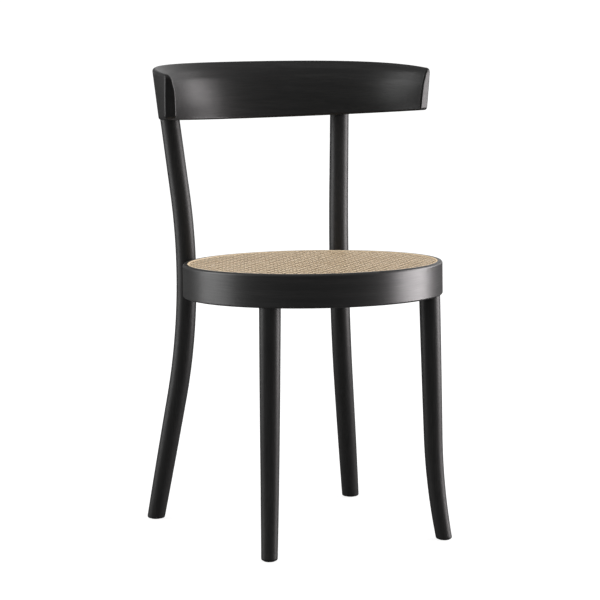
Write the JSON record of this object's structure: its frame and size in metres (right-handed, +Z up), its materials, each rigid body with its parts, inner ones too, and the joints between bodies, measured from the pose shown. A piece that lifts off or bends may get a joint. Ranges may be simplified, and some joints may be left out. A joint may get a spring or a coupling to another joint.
{
  "type": "dining chair",
  "caption": "Black wooden dining chair with a round cane seat in a bent hoop, splayed round legs and a low curved back board that wraps the sitter.",
  "frame": {"origin": "on the floor, in the middle of the chair's overall width and depth", "axes": "+Z up, -Y the way the sitter faces, +X to the sitter's left"},
  "size_m": [0.4906, 0.4927, 0.7659],
  "materials": {
    "black_wood": "black stain under a satin lacquer, grain just visible",
    "cane": "natural woven cane, slightly glossy",
    "reed": "natural reed, matt",
    "steel": "zinc-plated steel",
    "brass": "plain brass",
    "glide_plastic": "black nylon"
  },
  "bodies": {
    "root": {"seat_hoop": "black_wood", "cane_webbing": "cane", "cane_spline": "reed", "front_leg_left": "black_wood", "front_leg_right": "black_wood", "rear_leg_left": "black_wood", "rear_leg_right": "black_wood", "backrest": "black_wood", "hoop_bolts": "steel", "bolt_washers": "steel", "leg_inserts": "brass", "tenon_screws": "steel", "back_screws": "steel", "screw_plugs": "black_wood", "glide_front_left": "glide_plastic", "glide_front_right": "glide_plastic", "glide_rear_left": "glide_plastic", "glide_rear_right": "glide_plastic"}
  },
  "joints": []
}
